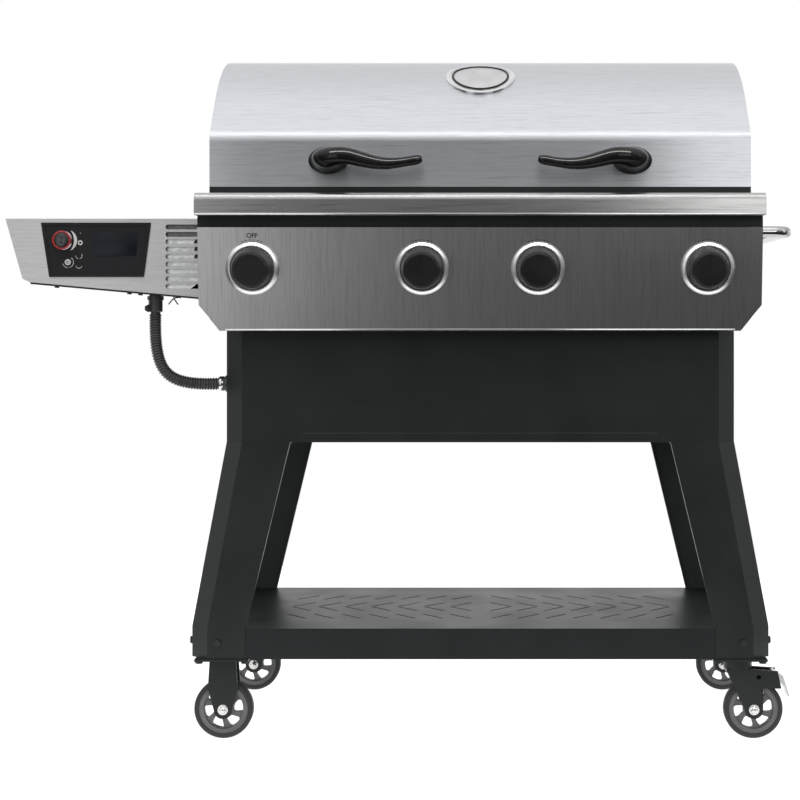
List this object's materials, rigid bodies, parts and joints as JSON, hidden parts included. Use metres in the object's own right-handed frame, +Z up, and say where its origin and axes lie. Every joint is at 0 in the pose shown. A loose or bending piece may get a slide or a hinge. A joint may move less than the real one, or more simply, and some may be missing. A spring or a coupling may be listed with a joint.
{
  "type": "pellet grill",
  "caption": "Pellet grill on a black four-leg cart with casters: stainless barrel lid with horn handles, knob panel, side pellet hopper with controller, and a slotted shelf.",
  "frame": {"origin": "on the floor, under the middle of the grill's box", "axes": "+X to the grill's right as seen from the front, +Y to the back, +Z up"},
  "size_m": [1.3394, 0.676, 1.1778],
  "materials": {
    "cart_black": "satin black powder coat",
    "screw_black": "black oxide screws",
    "caster_steel": "black pressed steel",
    "pedal_steel": "plated pressed steel",
    "tyre_rubber": "black rubber",
    "rim_grey": "grey moulded nylon",
    "firebox_black": "matt high-heat black",
    "stainless": "brushed stainless steel",
    "chrome": "bright chrome",
    "knob_black": "black moulded plastic",
    "horn_black": "gloss black",
    "switch_plastic": "black plastic",
    "galvanised": "galvanised sheet",
    "grate_iron": "enamelled cast iron",
    "controller_black": "gloss black",
    "dial_metal": "spun metal",
    "hose_black": "black corrugated plastic"
  },
  "bodies": {
    "cart": {"apron": "cart_black", "front_legs": "cart_black", "rear_legs": "cart_black", "bottom_shelf": "cart_black", "cart_screws": "screw_black", "fixed_forks": "caster_steel", "swivel_plates": "caster_steel", "firebox": "firebox_black", "front_ledge": "stainless", "control_panel": "stainless", "knob_bezels": "chrome", "mode_switch": "switch_plastic", "heat_deflector": "firebox_black", "lower_tub": "firebox_black", "fire_pot": "firebox_black", "igniter": "galvanised", "cooking_grates": "grate_iron", "lid_hinges": "firebox_black", "side_handle": "chrome", "hopper_housing": "stainless", "hopper_bottom": "cart_black", "hopper_bin": "galvanised", "auger_tube": "galvanised", "auger_motor": "galvanised", "fan_housing": "galvanised", "controller": "controller_black", "power_inlet": "switch_plastic", "hose_fittings": "hose_black", "ribbed_hose": "hose_black"},
    "lid": {"lid_shell": "stainless", "lid_badge": "chrome", "horn_handles": "horn_black", "lid_hinge_leaves": "firebox_black"},
    "hopper_lid": {"hopper_lid": "stainless"},
    "mode_knob": {"mode_knob": "knob_black"},
    "controller_dial": {"controller_dial": "dial_metal"},
    "power_button": {"power_button": "controller_black"},
    "menu_button_upper": {"menu_button_upper": "controller_black"},
    "menu_button_lower": {"menu_button_lower": "controller_black"},
    "auger": {"auger": "galvanised"},
    "fan": {"fan_impeller": "galvanised"},
    "grease_tray": {"grease_tray": "galvanised"},
    "damper_left": {"damper_knob_left": "knob_black", "damper_vane_left": "firebox_black"},
    "damper_centre": {"damper_knob_centre": "knob_black", "damper_vane_centre": "firebox_black"},
    "damper_right": {"damper_knob_right": "knob_black", "damper_vane_right": "firebox_black"},
    "swivel_front": {"swivel_fork_front": "caster_steel"},
    "brake_pedal_front": {"brake_pedal_front": "pedal_steel"},
    "swivel_rear": {"swivel_fork_rear": "caster_steel"},
    "brake_pedal_rear": {"brake_pedal_rear": "pedal_steel"},
    "wheel_front_left": {"tyre_front_left": "tyre_rubber", "wheel_rim_front_left": "rim_grey"},
    "wheel_rear_left": {"tyre_rear_left": "tyre_rubber", "wheel_rim_rear_left": "rim_grey"},
    "wheel_front_right": {"tyre_front_right": "tyre_rubber", "wheel_rim_front_right": "rim_grey"},
    "wheel_rear_right": {"tyre_rear_right": "tyre_rubber", "wheel_rim_rear_right": "rim_grey"}
  },
  "joints": [
    {"name": "lid_hinge", "type": "hinge", "parent": "cart", "child": "lid", "pos_m": [0.13635, 0.333, 0.938], "axis": [-1, 0, 0], "range_deg": [0, 95]},
    {"name": "hopper_lid_hinge", "type": "hinge", "parent": "cart", "child": "hopper_lid", "pos_m": [-0.51515, 0.182, 0.885], "axis": [-1, 0, 0], "range_deg": [0, 100]},
    {"name": "mode_turn", "type": "hinge", "parent": "cart", "child": "mode_knob", "pos_m": [-0.24065, -0.29477, 0.799], "axis": [0, -0.9925, -0.1219], "range_deg": [-90, 90]},
    {"name": "dial_turn", "type": "hinge", "parent": "cart", "child": "controller_dial", "pos_m": [-0.57115, -0.2155, 0.848], "axis": [0, -1, 0], "continuous": true},
    {"name": "auger_spin", "type": "hinge", "parent": "cart", "child": "auger", "pos_m": [-0.59365, -0.018, 0.8036], "axis": [0.9976, 0, -0.0698], "continuous": true},
    {"name": "fan_spin", "type": "hinge", "parent": "cart", "child": "fan", "pos_m": [-0.36465, 0.099, 0.818], "axis": [1, 0, 0], "continuous": true},
    {"name": "tray_slide", "type": "slide", "parent": "cart", "child": "grease_tray", "axis": [0, 1, 0], "range_m": [0, 0.3]},
    {"name": "damper_left_turn", "type": "hinge", "parent": "cart", "child": "damper_left", "pos_m": [0.04035, -0.29477, 0.799], "axis": [0, -0.9925, -0.1219], "range_deg": [0, 90]},
    {"name": "damper_centre_turn", "type": "hinge", "parent": "cart", "child": "damper_centre", "pos_m": [0.23235, -0.29477, 0.799], "axis": [0, -0.9925, -0.1219], "range_deg": [0, 90]},
    {"name": "damper_right_turn", "type": "hinge", "parent": "cart", "child": "damper_right", "pos_m": [0.51335, -0.29477, 0.799], "axis": [0, -0.9925, -0.1219], "range_deg": [0, 90]},
    {"name": "power_button_press", "type": "slide", "parent": "cart", "child": "power_button", "axis": [0, 1, 0], "range_m": [0, 0.0015], "stiffness_N_per_m": 400},
    {"name": "menu_button_upper_press", "type": "slide", "parent": "cart", "child": "menu_button_upper", "axis": [0, 1, 0], "range_m": [0, 0.0015], "stiffness_N_per_m": 400},
    {"name": "menu_button_lower_press", "type": "slide", "parent": "cart", "child": "menu_button_lower", "axis": [0, 1, 0], "range_m": [0, 0.0015], "stiffness_N_per_m": 400},
    {"name": "swivel_front_turn", "type": "hinge", "parent": "cart", "child": "swivel_front", "pos_m": [0.57635, -0.188, 0.135], "axis": [0, 0, 1], "continuous": true},
    {"name": "brake_pedal_front_press", "type": "hinge", "parent": "swivel_front", "child": "brake_pedal_front", "pos_m": [0.63635, -0.188, 0.11], "axis": [0, 1, 0], "range_deg": [0, 8]},
    {"name": "swivel_rear_turn", "type": "hinge", "parent": "cart", "child": "swivel_rear", "pos_m": [0.57635, 0.242, 0.135], "axis": [0, 0, 1], "continuous": true},
    {"name": "brake_pedal_rear_press", "type": "hinge", "parent": "swivel_rear", "child": "brake_pedal_rear", "pos_m": [0.63635, 0.242, 0.11], "axis": [0, 1, 0], "range_deg": [0, 8]},
    {"name": "wheel_front_left_spin", "type": "hinge", "parent": "cart", "child": "wheel_front_left", "pos_m": [-0.30165, -0.188, 0.05], "axis": [0, 1, 0], "continuous": true},
    {"name": "wheel_rear_left_spin", "type": "hinge", "parent": "cart", "child": "wheel_rear_left", "pos_m": [-0.30165, 0.242, 0.05], "axis": [0, 1, 0], "continuous": true},
    {"name": "wheel_front_right_spin", "type": "hinge", "parent": "swivel_front", "child": "wheel_front_right", "pos_m": [0.60185, -0.188, 0.05], "axis": [0, 1, 0], "continuous": true},
    {"name": "wheel_rear_right_spin", "type": "hinge", "parent": "swivel_rear", "child": "wheel_rear_right", "pos_m": [0.60185, 0.242, 0.05], "axis": [0, 1, 0], "continuous": true}
  ]
}
